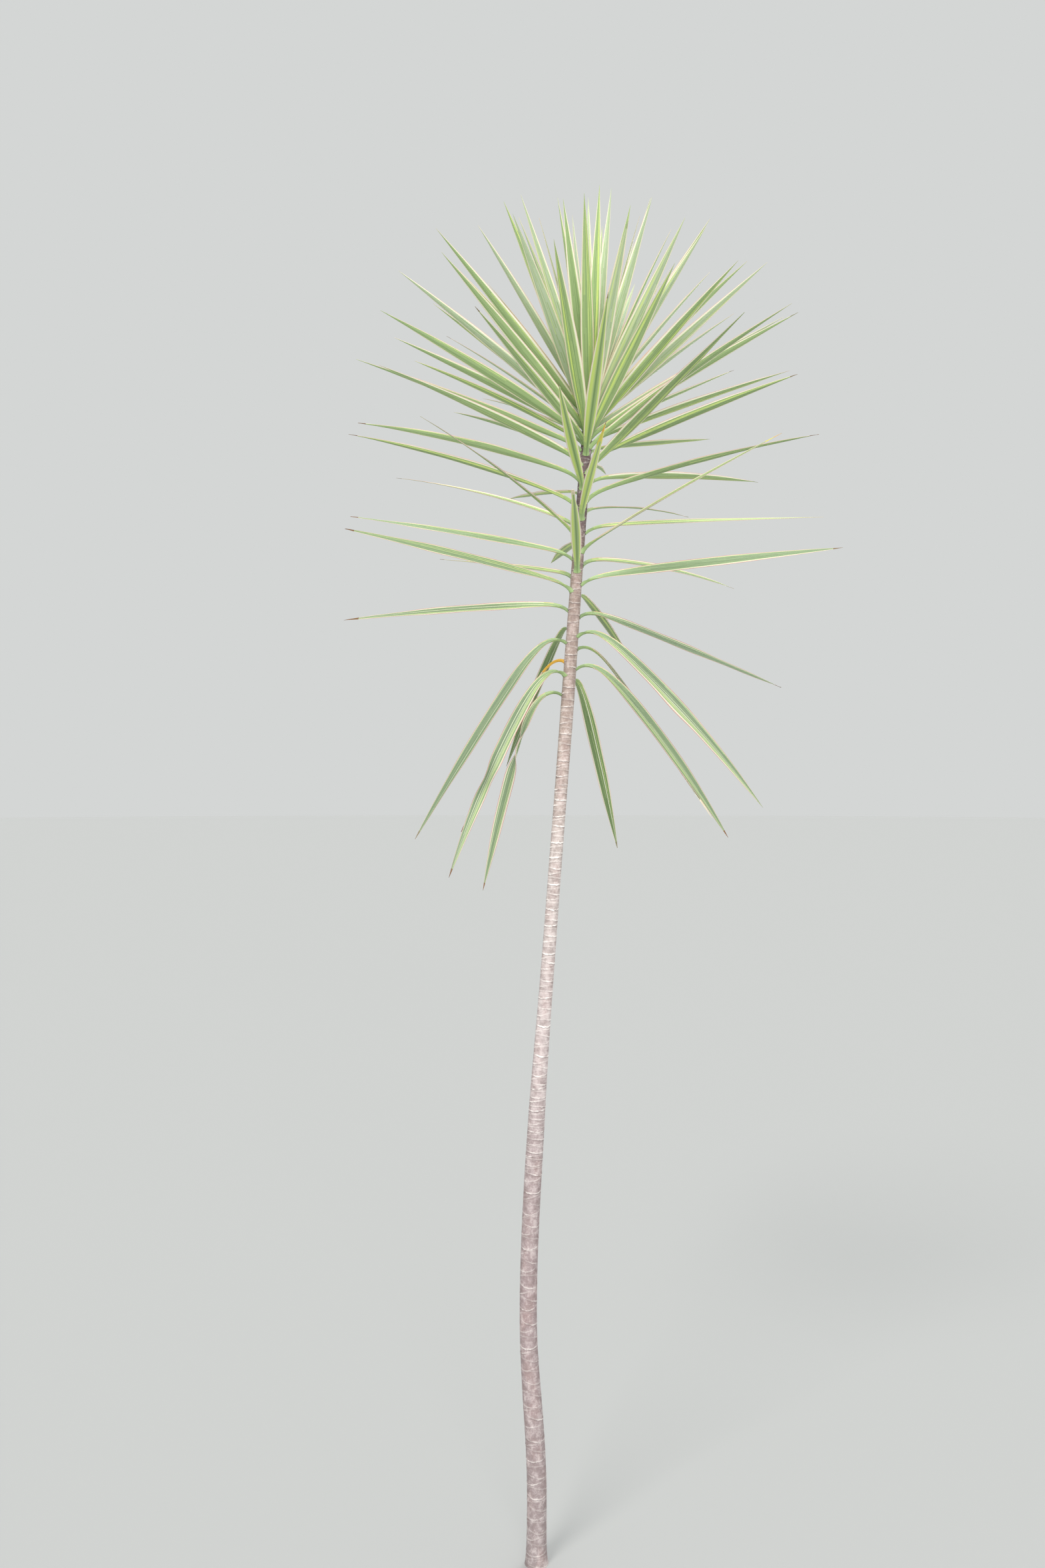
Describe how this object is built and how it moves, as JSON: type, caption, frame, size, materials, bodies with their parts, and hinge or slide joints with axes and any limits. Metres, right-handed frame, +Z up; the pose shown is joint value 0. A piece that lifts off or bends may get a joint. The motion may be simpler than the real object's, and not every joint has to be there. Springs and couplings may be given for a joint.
{
  "type": "red-edged dracaena",
  "caption": "Tall house plant: a slim, slightly leaning ringed cane under an open crown of long, narrow, striped leaves with fine red edges.",
  "frame": {"origin": "middle of the flat cut under the cane, at ground level", "axes": "+Z up along the cane, -Y towards the viewer, +X to the viewer's right"},
  "size_m": [0.9651, 0.9054, 2.592],
  "materials": {
    "bark": "dry grey-tan cane with pale crescent leaf scars",
    "hanging_green": "satin dull green old leaf with cream stripes and a fine red edge",
    "spreading_green": "satin green leaf with cream stripes and a fine red edge",
    "rising_green": "satin mid-green leaf with cream stripes and a fine red edge",
    "whorl_green": "satin fresh green leaf with cream stripes and a fine pink edge",
    "heart_green": "satin pale young leaf with cream stripes and a fine pink edge"
  },
  "bodies": {
    "root": {"cane": "bark", "hanging_leaf_01": "hanging_green", "hanging_leaf_02": "hanging_green", "hanging_leaf_03": "hanging_green", "hanging_leaf_04": "hanging_green", "hanging_leaf_05": "hanging_green", "hanging_leaf_06": "hanging_green", "hanging_leaf_07": "hanging_green", "hanging_leaf_08": "hanging_green", "hanging_leaf_09": "hanging_green", "hanging_leaf_10": "hanging_green", "spreading_leaf_01": "spreading_green", "spreading_leaf_02": "spreading_green", "spreading_leaf_03": "spreading_green", "spreading_leaf_04": "spreading_green", "spreading_leaf_05": "spreading_green", "spreading_leaf_06": "spreading_green", "spreading_leaf_07": "spreading_green", "spreading_leaf_08": "spreading_green", "spreading_leaf_09": "spreading_green", "spreading_leaf_10": "spreading_green", "spreading_leaf_11": "spreading_green", "spreading_leaf_12": "spreading_green", "spreading_leaf_13": "spreading_green", "spreading_leaf_14": "spreading_green", "spreading_leaf_15": "spreading_green", "spreading_leaf_16": "spreading_green", "rising_leaf_01": "rising_green", "rising_leaf_02": "rising_green", "rising_leaf_03": "rising_green", "rising_leaf_04": "rising_green", "rising_leaf_05": "rising_green", "rising_leaf_06": "rising_green", "rising_leaf_07": "rising_green", "rising_leaf_08": "rising_green", "rising_leaf_09": "rising_green", "rising_leaf_10": "rising_green", "rising_leaf_11": "rising_green", "rising_leaf_12": "rising_green", "rising_leaf_13": "rising_green", "rising_leaf_14": "rising_green", "leaf_whorl_01": "whorl_green", "leaf_whorl_02": "whorl_green", "leaf_whorl_03": "whorl_green", "leaf_whorl_04": "whorl_green", "leaf_whorl_05": "whorl_green", "leaf_whorl_06": "whorl_green", "leaf_whorl_07": "whorl_green", "leaf_whorl_08": "whorl_green", "leaf_whorl_09": "whorl_green", "leaf_whorl_10": "whorl_green", "leaf_whorl_11": "whorl_green", "heart_leaves": "heart_green"}
  },
  "joints": []
}
